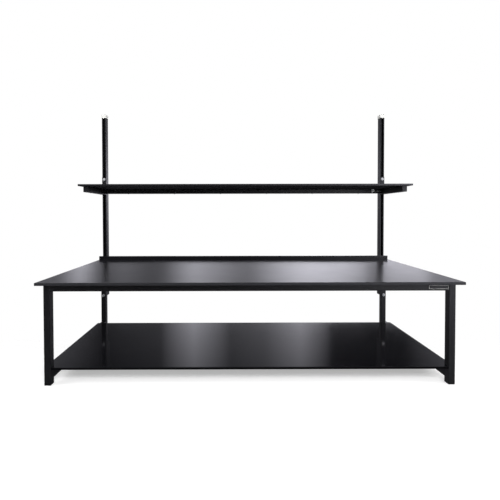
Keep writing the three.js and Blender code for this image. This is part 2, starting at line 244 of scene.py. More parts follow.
def mouldedNylon():
    # black glass-filled nylon, moulded: dull, with pale fibre specks
    material, tree, shader, place = startMaterial("black moulded nylon")
    # the real fibres are about 0.3 mm long; they are drawn coarser so that they show
    grain = addNode(tree, "ShaderNodeTexNoise",
                    {"Scale": perMetre(nylon["grain"]), "Detail": 4}, {"Vector": place})
    tint = addNode(tree, "ShaderNodeMix",
                   {"data_type": "RGBA", 6: linear(nylon["colour"]), 7: linear(nylon["grainColour"])},
                   {0: grain.outputs["Fac"]})
    tree.links.new(tint.outputs[2], shader.inputs["Base Color"])
    shader.inputs["Roughness"].default_value = nylon["roughness"]
    return material


anodise = {"colour": "#151517", "brushColour": "#232326", "brush": (30, 0.8), "roughness": 0.36}


def anodisedPlate():
    # aluminium sheet, brushed along its length and anodised black
    material, tree, shader, place = startMaterial("black anodised aluminium")
    length, width = anodise["brush"]  # the real lines are about 0.1 mm wide; they are drawn coarser to show
    stretch = addNode(tree, "ShaderNodeMapping",
                      {"Scale": (perMetre(length), perMetre(width), perMetre(width))}, {"Vector": place})
    brush = addNode(tree, "ShaderNodeTexNoise", {"Scale": 1.0, "Detail": 2}, {"Vector": stretch.outputs[0]})
    tint = addNode(tree, "ShaderNodeMix",
                   {"data_type": "RGBA", 6: linear(anodise["colour"]), 7: linear(anodise["brushColour"])},
                   {0: brush.outputs["Fac"]})
    tree.links.new(tint.outputs[2], shader.inputs["Base Color"])
    shader.inputs["Roughness"].default_value = anodise["roughness"]
    return material


ink = {"colour": "#efefec", "thinColour": "#d9d9d6", "mottle": 2.5, "roughness": 0.55}


def screenInk():
    # white screen-printing ink, a raised film with a mottled edge
    material, tree, shader, place = startMaterial("white screen ink")
    # the real mottle is about 0.5 mm; it is drawn coarser so that it shows
    mottle = addNode(tree, "ShaderNodeTexNoise",
                     {"Scale": perMetre(ink["mottle"]), "Detail": 3}, {"Vector": place})
    tint = addNode(tree, "ShaderNodeMix",
                   {"data_type": "RGBA", 6: linear(ink["colour"]), 7: linear(ink["thinColour"])},
                   {0: mottle.outputs["Fac"]})
    tree.links.new(tint.outputs[2], shader.inputs["Base Color"])
    shader.inputs["Roughness"].default_value = ink["roughness"]
    return material


# colours of the white paint that stands as a painted highlight on the right cleat
primer = {
    "colour": "#f0f1f2", "thinColour": "#dcdee0", "brush": (9, 1.6),
    "roughness": 0.7, "bump": 0.3, "relief": 0.1,
}


# white paint with brush marks, drawn on the right cleat only as a painted highlight: flat white
def highlightPaint():
    # white zinc primer brushed on a weld that was made after coating: flat white with brush marks
    material, tree, shader, place = startMaterial("white paint as painted highlight")
    length, width = primer["brush"]
    stretch = addNode(tree, "ShaderNodeMapping",
                      {"Scale": (perMetre(length), perMetre(width), perMetre(width))}, {"Vector": place})
    brush = addNode(tree, "ShaderNodeTexNoise", {"Scale": 1.0, "Detail": 3}, {"Vector": stretch.outputs[0]})
    tint = addNode(tree, "ShaderNodeMix",
                   {"data_type": "RGBA", 6: linear(primer["colour"]), 7: linear(primer["thinColour"])},
                   {0: brush.outputs["Fac"]})
    bump = addNode(tree, "ShaderNodeBump", {"Strength": primer["bump"], "Distance": primer["relief"] * mm},
                   {"Height": brush.outputs["Fac"]})
    tree.links.new(tint.outputs[2], shader.inputs["Base Color"])
    tree.links.new(bump.outputs[0], shader.inputs["Normal"])
    shader.inputs["Roughness"].default_value = primer["roughness"]
    return material


boardFinish = pressedSheet("black satin laminate")
resinFinish = pressedSheet("black phenolic resin")
bandFinish, sandedFinish, paintedShadeEdgeFinish = (edgeFinish(name) for name in boardEdges)
backerFinish = backerSheet()
steelFinish = powderCoat()
zincFinish = zincFlake()
capFinish = mouldedPolyethylene()
nylonFinish = mouldedNylon()
plateFinish = anodisedPlate()
inkFinish = screenInk()
highlightFinish = highlightPaint()
print("materials made:", len(bpy.data.materials))


# Outlines, rings and pieces

creaseAngle = 38  # degrees: an edge that turns more is drawn sharp


def lift(axis, u, v, w):  # w runs along the axis, u and v across it
    return {"x": (w, u, v), "y": (v, w, u), "z": (u, v, w)}[axis]


def across(axis, point):  # the same three measures of a point in the frame
    x, y, z = point
    return {"x": (y, z, x), "y": (z, x, y), "z": (x, y, z)}[axis]


def rectangle(lowU, lowV, highU, highV, radius):
    return [(lowU, lowV, radius), (highU, lowV, radius), (highU, highV, radius), (lowU, highV, radius)]


def turnAt(corners, i):  # a corner, the ways into it and out of it, and the angle between these
    corner = Vector(corners[i][:2])
    arriving = (corner - Vector(corners[i - 1][:2])).normalized()
    leaving = (Vector(corners[(i + 1) % len(corners)][:2]) - corner).normalized()
    turn = math.atan2(arriving.x * leaving.y - arriving.y * leaving.x, arriving.dot(leaving))
    return corner, arriving, leaving, turn


def roundedOutline(corners, steps):  # anticlockwise (u, v, radius) to points and their outward normals
    outline = []
    for i, (_, _, radius) in enumerate(corners):
        corner, arriving, leaving, turn = turnAt(corners, i)
        hand = 1 if turn > 0 else -1
        inward = Vector((-arriving.y, arriving.x)) * hand
        centre = corner - arriving * radius * math.tan(abs(turn) / 2) + inward * radius
        for s in range(steps + 1):
            spoke = Matrix.Rotation(turn * s / steps, 2) @ -inward
            outline.append((centre + spoke * radius, spoke * hand))
    return outline


def roundOutline(u, v, segments):  # a point with spokes all round, for rings of any radius
    turns = [2 * math.pi * i / segments for i in range(segments)]
    return [(Vector((u, v)), Vector((math.cos(a), math.sin(a)))) for a in turns]


def ringAt(outline, axis, inset, w):
    return [lift(axis, p.x - n.x * inset, p.y - n.y * inset, w) for p, n in outline]


def loft(mesh, rings, looped=False, finish=0):  # skins the rings; unless looped, the ends are capped
    loops = [[mesh.verts.new(point) for point in ring] for ring in rings]
    pairs = list(zip(loops, loops[1:]))
    if looped:
        pairs.append((loops[-1], loops[0]))
    faces = []
    for low, high in pairs:
        for i in range(len(low)):
            j = (i + 1) % len(low)
            faces.append(mesh.faces.new((low[i], low[j], high[j], high[i])))
    if not looped:
        faces.append(mesh.faces.new(loops[0][::-1]))
        faces.append(mesh.faces.new(loops[-1]))
    for face in faces:
        face.material_index = finish
    return faces


def makePiece(name, mesh, finishes, body, standsFor=()):
    bmesh.ops.recalc_face_normals(mesh, faces=mesh.faces)
    data = bpy.data.meshes.new(name)
    mesh.to_mesh(data)
    mesh.free()
    for finish in finishes:
        data.materials.append(finish)
    data.shade_smooth()
    data.set_sharp_from_angle(angle=math.radians(creaseAngle))
    piece = bpy.data.objects.new(name, data)
    scene.collection.objects.link(piece)
    flat = piece.modifiers.new("flat faces stay flat", "WEIGHTED_NORMAL")
    flat.keep_sharp = True
    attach(piece, body)
    if standsFor:
        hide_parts(*standsFor)
    return piece


# Camera

photoCamera = {
    "place": (-171.6, -3802.6, 1502.1),
    "focal": 355.9, "centre": (230.8, 219.8), "image": 500,  # pixels
    "sensor": 36,
    "turnRight": 0.147, "tiltDown": 1.077, "roll": -0.109,  # degrees
}


def addCamera():
    image = photoCamera["image"]
    data = bpy.data.cameras.new("photo camera")
    data.sensor_width = photoCamera["sensor"]
    data.lens = photoCamera["focal"] / image * photoCamera["sensor"]
    data.shift_x = 0.5 - photoCamera["centre"][0] / image
    data.shift_y = photoCamera["centre"][1] / image - 0.5
    camera = bpy.data.objects.new("photo camera", data)
    scene.collection.objects.link(camera)
    turn = Matrix.Rotation(math.radians(-photoCamera["turnRight"]), 4, "Z")
    tilt = Matrix.Rotation(math.radians(90 - photoCamera["tiltDown"]), 4, "X")
    roll = Matrix.Rotation(math.radians(photoCamera["roll"]), 4, "Z")
    camera.matrix_world = Matrix.Translation(Vector(photoCamera["place"]) * mm) @ turn @ tilt @ roll
    scene.camera = camera


addCamera()
print("camera placed")


# Boards: resin worktop, laminate backstop, deck and shelf, each with its own finish round the rim

board = {
    "corner": 3.0, "rounding": 1.6, "topRounding": 4.5, "wrap": 0.6, "steps": 4, "border": 15.0,
    "notchClearance": 1.5, "notchCorner": 2.0,
}


def splitCap(mesh, lid, rim, corners, axis, w):  # a border round a plain middle, so no face is a sliver
    finish = lid.material_index
    mesh.faces.remove(lid)
    inner = []
    for i in range(len(corners)):
        corner, arriving, leaving, turn = turnAt(corners, i)
        spot = corner + (leaving - arriving) * math.copysign(board["border"] * mm, turn)
        inner.append(mesh.verts.new(lift(axis, spot.x, spot.y, w)))
    made = [mesh.faces.new(inner)]
    count = len(rim) // len(corners)
    for i in range(len(corners)):
        j = (i + 1) % len(corners)
        arc = rim[i * count:(i + 1) * count]
        made += [mesh.faces.new((first, second, inner[i])) for first, second in zip(arc, arc[1:])]
        made.append(mesh.faces.new((arc[-1], rim[j * count], inner[j], inner[i])))
    for face in made:
        face.material_index = finish


def addBoard(node, axis, body, finishes, rounding=board["rounding"] * mm, corners=None):
    # finishes: of the high face, the rim and the low face
    low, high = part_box(node)
    lowU, lowV, lowW = across(axis, low)
    highU, highV, highW = across(axis, high)
    corners = corners or rectangle(lowU, lowV, highU, highV, board["corner"] * mm)
    outline = roundedOutline(corners, board["steps"])
    quarter = [math.radians(90 * s / board["steps"]) for s in range(board["steps"] + 1)]
    rings = [ringAt(outline, axis, rounding * (1 - math.sin(a)), lowW + rounding * (1 - math.cos(a)))
             for a in quarter]
    rings += [ringAt(outline, axis, rounding * (1 - math.sin(a)), highW - rounding * (1 - math.cos(a)))
              for a in reversed(quarter)]
    mesh = bmesh.new()
    faces = loft(mesh, rings, finish=1)
    for face in faces:  # the upper face's finish wraps a little way round the edge
        if across(axis, face.calc_center_median())[2] > highW - rounding * board["wrap"]:
            face.material_index = 0
    lowCap, highCap = faces[-2:]
    lowCap.material_index = 2
    splitCap(mesh, lowCap, list(lowCap.verts)[::-1], corners, axis, lowW)
    splitCap(mesh, highCap, list(highCap.verts), corners, axis, highW)
    makePiece(f"{node}_board", mesh, finishes, body, [node])


def deckCorners():  # the deck is notched round the front legs
    low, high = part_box("lower_deck")
    legLow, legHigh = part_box("front_right_leg")
    clearance = board["notchClearance"] * mm
    notchX = legLow.x - clearance
    notchY = legHigh.y + clearance
    corner = board["corner"] * mm
    inner = board["notchCorner"] * mm
    return [
        (-notchX, low.y, corner), (notchX, low.y, corner),
        (notchX, notchY, inner), (high.x, notchY, corner),
        (high.x, high.y, corner), (low.x, high.y, corner),
        (low.x, notchY, corner), (-notchX, notchY, inner),
    ]


addBoard("worktop", "z", "bench", (resinFinish, sandedFinish, backerFinish), board["topRounding"] * mm)
addBoard("backstop", "y", "bench", (boardFinish, bandFinish, boardFinish))
# the deck's rim is drawn near black as painted shade under the worktop
addBoard("lower_deck", "z", "bench", (boardFinish, paintedShadeEdgeFinish, backerFinish), corners=deckCorners())
addBoard("shelf_panel", "z", "shelf", (boardFinish, bandFinish, backerFinish))
print("boards made")


# Rectangular steel tube: legs, aprons, rails, supports, stringers, the shelf's beam and arms

tube = {"corner": 4.0, "wall": 2.1, "steps": 5, "deburr": 0.5, "armFront": 3.0, "armCorner": 3.5}


def addTube(node, axis, body, corner, closedFront=0):
    low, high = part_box(node)
    lowU, lowV, lowW = across(axis, low)
    highU, highV, highW = across(axis, high)
    outline = roundedOutline(rectangle(lowU, lowV, highU, highV, corner * mm), tube["steps"])
    deburr = tube["deburr"] * mm
    wall = tube["wall"] * mm
    rings = [
        ringAt(outline, axis, deburr, lowW), ringAt(outline, axis, 0, lowW + deburr),
        ringAt(outline, axis, 0, highW - deburr), ringAt(outline, axis, deburr, highW),
        ringAt(outline, axis, wall, highW), ringAt(outline, axis, wall, lowW + closedFront * mm),
    ]
    mesh = bmesh.new()
    loft(mesh, rings, looped=not closedFront)
    makePiece(f"{node}_tube", mesh, (steelFinish,), body, [node])


arms = [f"{side}_shelf_arm" for side in sides]
supports = [f"{place}_cross_support" for place in ("left", "middle", "right")]
stringers = [f"{place}_deck_stringer" for place in ("front", "middle", "rear")]
tubeRuns = {
    "z": [f"{row}_{side}_leg" for row in ("front", "rear") for side in sides],
    "x": ["front_apron", "rear_apron"] + stringers,
    "y": [f"{side}_{level}_rail" for side in sides for level in ("top", "lower")] + supports,
}
for axis, nodes in tubeRuns.items():
    for node in nodes:
        addTube(node, axis, "bench", tube["corner"])
addTube("shelf_rear_beam", "x", "shelf", tube["corner"])
for arm in arms:
    addTube(arm, "y", "shelf", tube["armCorner"], tube["armFront"])
print("tubes made")


# Slotted uprights: strip bent to a lipped channel, open to the front

channel = {"wall": 2.7, "slot": 22.2, "lip": 7.0, "bend": 1.4, "lipEdge": 0.7, "steps": 4, "deburr": 0.4}


def channelCorners(low, high):
    middle = (low.x + high.x) / 2
    half = (high.x - low.x) / 2
    wall = channel["wall"] * mm
    slot = channel["slot"] * mm / 2
    lip = channel["lip"] * mm
    bend = channel["bend"] * mm
    outer = bend + wall
    edge = channel["lipEdge"] * mm
    depth = high.y - low.y
    rightHalf = [
        (half - wall, depth - wall, bend), (half - wall, wall, bend), (slot + wall, wall, bend),
        (slot + wall, lip, edge), (slot, lip, edge),
        (slot, 0, outer), (half, 0, outer), (half, depth, outer),
    ]
    leftHalf = [(-x, y, r) for x, y, r in reversed(rightHalf)]
    return [(middle + x, low.y + y, r) for x, y, r in rightHalf + leftHalf]


def addUpright(side):
    low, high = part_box(f"{side}_upright")
    outline = roundedOutline(channelCorners(low, high), channel["steps"])
    deburr = channel["deburr"] * mm
    levels = [(deburr, low.z), (0, low.z + deburr), (0, high.z - deburr), (deburr, high.z)]
    mesh = bmesh.new()
    loft(mesh, [ringAt(outline, "z", inset, w) for inset, w in levels])
    makePiece(f"{side}_slotted_upright", mesh, (steelFinish,), "bench",
              [f"{side}_upright"])


# Caps: a moulded skirt over the upright's top, with a round lobe that hangs over the slot

cap = {
    "wall": 2.5, "top": 4.0, "lobe": 9.0, "lobePoints": 18,
    "corner": 3.0, "crown": 2.2, "rim": 0.5, "steps": 5,
}


def addCap(side):
    low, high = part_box(f"{side}_upright_cap")
    middle = (low.x + high.x) / 2
    lobe = cap["lobe"] * mm
    outline = roundedOutline(rectangle(low.x, low.y, high.x, high.y, cap["corner"] * mm), cap["steps"])
    turns = [math.pi * i / cap["lobePoints"] for i in range(cap["lobePoints"] + 1)]
    front = [(Vector((middle - lobe * math.cos(a), low.y)), Vector((0, -1))) for a in turns]
    firstCorner = cap["steps"] + 1
    outline = outline[:firstCorner] + front + outline[firstCorner:]
    drops = [math.sqrt(max(0, lobe ** 2 - (p.x - middle) ** 2)) for p, _ in outline]
    skirtLow = low.z + lobe
    crown = cap["crown"] * mm
    rim = cap["rim"] * mm
    wall = cap["wall"] * mm
    quarter = [math.radians(90 * s / cap["steps"]) for s in range(cap["steps"] + 1)]
    levels = [(crown * (1 - math.sin(a)), high.z - crown * (1 - math.cos(a)), 0) for a in quarter]
    levels += [(0, skirtLow + rim, 1), (rim, skirtLow, 1),
               (wall - rim, skirtLow, 1), (wall, skirtLow + rim, 1)]
    levels += [(wall, high.z - cap["top"] * mm, 0)]
    rings = []
    for inset, w, hang in levels:
        ring = ringAt(outline, "z", inset, w)
        rings.append([(x, y, z - drop * hang) for (x, y, z), drop in zip(ring, drops)])
    mesh = bmesh.new()
    loft(mesh, rings)
    makePiece(f"{side}_moulded_cap", mesh, (capFinish,), "bench", [f"{side}_upright_cap"])


for side in sides:
    addUpright(side)
    addCap(side)
print("uprights and caps made")


# Flanged hex bolts and screws

hexHead = {"chamfer": 30, "crown": 0.92, "flangeEdge": 0.2, "threadedShare": 0.9}  # degrees, and shares
bolt = {
    "flats": 19.0, "head": 7.5, "flange": 18.0, "flangeThickness": 2.5, "shank": 6.0,
    "pitch": 1.75, "threadDepth": 1.07, "threadLength": 30, "segments": 48,
}
screw = {
    "flats": 8.0, "head": 3.6, "flange": 6.4, "flangeThickness": 1.2, "shank": 2.4,
    "pitch": 1.8, "threadDepth": 0.6, "threadLength": 12, "segments": 24,
}


def threadRings(outline, axis, radius, depth, start, end, pitch):
    count = max(1, round(abs(end - start) / pitch))
    rings = []
    for i in range(count):
        w = start + (end - start) * i / count
        rings.append(ringAt(outline, axis, -radius, w))
        rings.append(ringAt(outline, axis, -(radius - depth), w + (end - start) * 0.5 / count))
    return rings


def hexBoltMesh(mesh, axis, u, v, headW, reach, kind):  # from the head's top at headW along the axis
    outline = roundOutline(u, v, kind["segments"])
    flat = kind["flats"] * mm / 2
    sixth = math.pi / 3
    hexRadius = [flat / math.cos((2 * math.pi * i / kind["segments"]) % sixth - sixth / 2)
                 for i in range(kind["segments"])]
    chamfer = math.tan(math.radians(hexHead["chamfer"]))
    crown = hexHead["crown"] * flat
    seat = headW + (kind["head"] + kind["flangeThickness"]) * mm
    flange = kind["flange"] * mm
    thick = kind["flangeThickness"] * mm
    edge = thick * hexHead["flangeEdge"]
    shank = kind["shank"] * mm

    def hexRing(fall, w):
        return [lift(axis, p.x + n.x * r, p.y + n.y * r, w + max(0, r - crown) * fall)
                for (p, n), r in zip(outline, hexRadius)]

    rings = [
        ringAt(outline, axis, -crown, headW), hexRing(chamfer, headW),
        hexRing(0, seat - thick),
        ringAt(outline, axis, -(flange - edge), seat - thick),
        ringAt(outline, axis, -flange, seat - thick + edge),
        ringAt(outline, axis, -flange, seat), ringAt(outline, axis, -shank, seat),
    ]
    end = seat + reach
    start = end - min(reach * hexHead["threadedShare"], kind["threadLength"] * mm)
    depth = kind["threadDepth"] * mm
    rings += threadRings(outline, axis, shank, depth, start, end, kind["pitch"] * mm)
    rings.append(ringAt(outline, axis, -(shank - depth), end))
    loft(mesh, rings)


def addBolt(node, body):
    low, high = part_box(node)
    lowU, lowV, headW = across("y", low)
    highU, highV, endW = across("y", high)
    reach = endW - headW - (bolt["head"] + bolt["flangeThickness"]) * mm
    mesh = bmesh.new()
    hexBoltMesh(mesh, "y", (lowU + highU) / 2, (lowV + highV) / 2, headW, reach, bolt)
    makePiece(f"{node}_hex", mesh, (zincFinish,), body, [node])


for side in sides:
    for level in ("lower", "upper"):
        addBolt(f"{side}_{level}_leg_bolt", "bench")
        addBolt(f"{side}_{level}_shelf_bolt", "shelf")

screwRows = {  # screws up through the tubes into the boards: the tubes, how they run, and the count in each
    "bench": ((supports, "y", 4), (stringers, "x", 6)),
    "shelf": ((arms, "y", 2), (["shelf_rear_beam"], "x", 6)),
}


def addScrewRow(mesh, node, axis, count):
    low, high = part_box(node)
    headHeight = (screw["head"] + screw["flangeThickness"]) * mm
    index = "xyz".index(axis)
    for i in range(count):
        spot = (low + high) / 2
        spot[index] = low[index] + (high[index] - low[index]) * (i + 0.5) / count
        hexBoltMesh(mesh, "z", spot.x, spot.y, low.z - headHeight, high.z - low.z, screw)


def addScrews(body):
    mesh = bmesh.new()
    for nodes, axis, count in screwRows[body]:
        for node in nodes:
            addScrewRow(mesh, node, axis, count)
    makePiece(f"{body}_board_screws", mesh, (zincFinish,), body)


for body in screwRows:
    addScrews(body)
print("bolts and screws made")


# Levelling feet: a turned pad on a threaded stem

foot = {
    "pad": 22.0, "padHeight": 3.2, "edge": 1.0, "belly": 0.3, "shoulder": 0.6,
    "stem": 5.0, "pitch": 1.5, "threadDepth": 0.9, "segments": 40,
}


def addFoot(node, body):
    low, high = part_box(node)
    outline = roundOutline((low.x + high.x) / 2, (low.y + high.y) / 2, foot["segments"])
    keys = ("pad", "edge", "belly", "shoulder", "stem", "pitch", "threadDepth")
    pad, edge, belly, shoulder, stem, pitch, depth = (foot[key] * mm for key in keys)
    top = low.z + foot["padHeight"] * mm
    levels = [(pad - edge, low.z), (pad - belly, low.z + belly), (pad, low.z + edge),
              (pad, top - shoulder), (pad - shoulder, top), (stem, top)]
    rings = [ringAt(outline, "z", -radius, w) for radius, w in levels]
    rings += threadRings(outline, "z", stem, depth, top + edge, high.z, pitch)
    rings.append(ringAt(outline, "z", -(stem - depth), high.z))
    mesh = bmesh.new()
    loft(mesh, rings)
    makePiece(f"{node}_turned", mesh, (zincFinish,), body, [node])


for row in ("front", "rear"):
    for side in sides:
        addFoot(f"{row}_{side}_levelling_foot", f"{row}_{side}_foot")
print("feet made")


# Shelf brackets: bolted plates and angle cleats

bracket = {
    "plateCorner": 5.0, "plateEdge": 0.8, "steps": 4,
    "cleatThickness": 4.8, "cleatBend": 3.0, "cleatEdge": 0.5,
}


def addPlate(side):
    node = f"{side}_arm_plate"
    low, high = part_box(node)
    corners = rectangle(low.z, low.x, high.z, high.x, bracket["plateCorner"] * mm)
    outline = roundedOutline(corners, bracket["steps"])
    edge = bracket["plateEdge"] * mm
    levels = [(edge, low.y), (0, low.y + edge), (0, high.y - edge), (edge, high.y)]
    mesh = bmesh.new()
    loft(mesh, [ringAt(outline, "y", inset, w) for inset, w in levels])
    makePiece(f"{node}_flat", mesh, (steelFinish,), "shelf", [node])


def addCleat(side):
    node = f"{side}_beam_cleat"
    low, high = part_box(node)
    thick = bracket["cleatThickness"] * mm
    bend = bracket["cleatBend"] * mm
    edge = bracket["cleatEdge"] * mm
    outerX, innerX = (high.x, low.x) if side == "right" else (low.x, high.x)
    away = -1 if side == "right" else 1
    corners = [
        (outerX, high.y, bend + thick), (innerX, high.y, edge), (innerX, high.y - thick, edge),
        (outerX + away * thick, high.y - thick, bend), (outerX + away * thick, low.y, edge),
        (outerX, low.y, edge),
    ]
    if side == "left":
        corners.reverse()
    outline = roundedOutline(corners, bracket["steps"])
    levels = [(edge, low.z), (0, low.z + edge), (0, high.z - edge), (edge, high.z)]
    mesh = bmesh.new()
    faces = loft(mesh, [ringAt(outline, "z", inset, w) for inset, w in levels])
    if side == "right":  # on this side its end and lower edge are drawn white as a painted highlight
        for face in faces:
            middle = face.calc_center_median()
            if abs(middle.x - innerX) < 2 * edge or middle.z < low.z + edge:
                face.material_index = 1
    makePiece(f"{node}_angle", mesh, (steelFinish, highlightFinish), "shelf", [node])


patch = {"top": 20.0, "waist": 24.0, "foot": 34.0, "corner": 4.0, "film": 0.2}  # widths of the white patch drawn as a painted highlight


def addHighlightPatch():  # white film over the front of the right cleat's end: a painted highlight
    low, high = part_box("right_beam_cleat")
    edge = bracket["cleatEdge"] * mm
    corner = patch["corner"] * mm
    bottom, top, end = low.z + edge, high.z - edge, low.x + edge
    topWidth, waist, footWidth = (patch[key] * mm for key in ("top", "waist", "foot"))
    corners = [(bottom, end, edge), (top, end, edge), (top, end + topWidth, corner),
               ((bottom + top) / 2, end + waist, corner), (bottom, end + footWidth, corner)]
    outline = roundedOutline(corners, bracket["steps"])
    face = high.y - bracket["cleatThickness"] * mm
    film = patch["film"] * mm
    mesh = bmesh.new()
    loft(mesh, [ringAt(outline, "y", 0, face), ringAt(outline, "y", film, face - film)])
    makePiece("right_cleat_painted_highlight", mesh, (highlightFinish,), "shelf")


for side in sides:
    addPlate(side)
    addCleat(side)
addHighlightPatch()
print("shelf brackets made")


# Welds where the tubes meet, coated with the frame, and those of the cleats

weld = {
    "radius": 2.6, "ripple": 0.5, "pitch": 5.0, "segments": 12, "fewestRings": 4, "endShare": 0.45,
    "cleatEnd": 9.0, "cleatFoot": 3.2, "flatness": 0.3, "armFoot": 6.0, "armHead": 2.0,
}


def addBead(mesh, start, end, size=weld["radius"], flatness=1.0):  # a flat one lies on a face to the front
    run = end - start
    along = run.normalized()
    up = Vector((0, -flatness, 0)) if flatness < 1 else along.orthogonal().normalized()
    out = along.cross(up).normalized()
    count = max(weld["fewestRings"], round(run.length / (weld["pitch"] * mm / 2)))
    rings = []
    for i in range(count + 1):
        swell = weld["ripple"] * (1 if i % 2 else -1)
        radius = (size + swell) * mm * (weld["endShare"] if i in (0, count) else 1)
        centre = start + run * i / count
        turns = [2 * math.pi * s / weld["segments"] for s in range(weld["segments"])]
        rings.append([centre + (out * math.cos(a) + up * math.sin(a)) * radius for a in turns])
    loft(mesh, rings)


def beadsRound(mesh, node, axis, faces):  # beads along the named edges of both ends of a tube
    low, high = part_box(node)
    lowU, lowV, lowW = across(axis, low)
    highU, highV, highW = across(axis, high)
    inset = tube["corner"] * mm
    seams = {
        "lowU": ((lowU, lowV + inset), (lowU, highV - inset)),
        "highU": ((highU, lowV + inset), (highU, highV - inset)),
        "lowV": ((lowU + inset, lowV), (highU - inset, lowV)),
        "highV": ((lowU + inset, highV), (highU - inset, highV)),
    }
    for w in (lowW, highW):
        for face in faces:
            start, end = seams[face]
            addBead(mesh, Vector(lift(axis, *start, w)), Vector(lift(axis, *end, w)))


def addWelds():
    mesh = bmesh.new()
    beadsRound(mesh, "front_apron", "x", ("lowV", "highU"))
    beadsRound(mesh, "rear_apron", "x", ("lowV", "lowU"))
    for side in sides:
        beadsRound(mesh, f"{side}_top_rail", "y", ("lowU",))
        beadsRound(mesh, f"{side}_lower_rail", "y", ("lowU", "highU"))
    for node in stringers:
        beadsRound(mesh, node, "x", ("lowU", "highU", "lowV"))
    for node in supports:
        beadsRound(mesh, node, "y", ("lowU", "lowV", "highV"))
    makePiece("frame_welds", mesh, (steelFinish,), "bench")


def addArmWelds():
    mesh = bmesh.new()
    for arm in arms:
        low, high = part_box(arm)
        bottom, top = low.z + weld["armFoot"] * mm, high.z - weld["armHead"] * mm
        for x in (low.x, high.x):
            addBead(mesh, Vector((x, high.y, bottom)), Vector((x, high.y, top)))
    makePiece("shelf_arm_welds", mesh, (steelFinish,), "shelf")


def addCleatWelds(side, finish):  # one bead down the beam at the cleat's end, one under the cleat
    low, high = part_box(f"{side}_beam_cleat")
    beamLow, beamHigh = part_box("shelf_rear_beam")
    innerX, outerX = (low.x, high.x) if side == "right" else (high.x, low.x)
    face = beamLow.y
    inset = tube["corner"] * mm
    mesh = bmesh.new()
    flatness = weld["flatness"]
    addBead(mesh, Vector((innerX, face, beamLow.z + inset)), Vector((innerX, face, beamHigh.z - inset)),
            weld["cleatEnd"], flatness)
    addBead(mesh, Vector((innerX, face, low.z)), Vector((outerX, face, low.z)), weld["cleatFoot"], flatness)
    makePiece(f"{side}_cleat_welds", mesh, (finish,), "shelf")


addWelds()
addArmWelds()
addCleatWelds("left", steelFinish)
# the right cleat's welds are drawn white as a painted highlight
addCleatWelds("right", highlightFinish)
print("welds made")


# Blank nameplate: anodised plate with a printed border

nameplate = {"corner": 5.0, "edge": 0.2, "borderInset": 1.6, "borderWidth": 2.0, "film": 0.15, "steps": 5}


def addNameplate():
    low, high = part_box("blank_nameplate")
    corners = rectangle(low.z, low.x, high.z, high.x, nameplate["corner"] * mm)
    outline = roundedOutline(corners, nameplate["steps"])
    edge = nameplate["edge"] * mm
    mesh = bmesh.new()
    loft(mesh, [ringAt(outline, "y", inset, w) for inset, w in
                ((edge, low.y), (0, low.y + edge), (0, high.y - edge), (edge, high.y))])
    makePiece("nameplate_blank", mesh, (plateFinish,), "bench", ["blank_nameplate"])
    outer = nameplate["borderInset"] * mm
    inner = outer + nameplate["borderWidth"] * mm
    film = low.y - nameplate["film"] * mm
    mesh = bmesh.new()
    loft(mesh, [ringAt(outline, "y", inset, w) for inset, w in
                ((outer, low.y), (outer, film), (inner, film), (inner, low.y))], looped=True)
    makePiece("nameplate_border", mesh, (inkFinish,), "bench")


addNameplate()
print("nameplate made")


# Small solids whose shape is already right: channel nuts and foot inserts

softened = {"edge": 0.6, "segments": 2, "angle": 40}  # the angle in degrees


def softenNode(node, finish):
    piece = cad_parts[node]
    piece.data.materials.clear()
    piece.data.materials.append(finish)
    piece.modifiers.new("merged points", "WELD")
    bevel = piece.modifiers.new("broken edges", "BEVEL")
    bevel.width = softened["edge"] * mm
    bevel.segments = softened["segments"]
    bevel.angle_limit = math.radians(softened["angle"])


for side in sides:
    for level in ("lower", "upper"):
        softenNode(f"{side}_{level}_leg_nut", zincFinish)
        softenNode(f"{side}_{level}_shelf_nut", zincFinish)
    for row in ("front", "rear"):
        softenNode(f"{row}_{side}_foot_insert", nylonFinish)
print("nuts and inserts finished")


# Studio: pale floor, white surroundings, grey cards that only reflections see, and three soft lamps

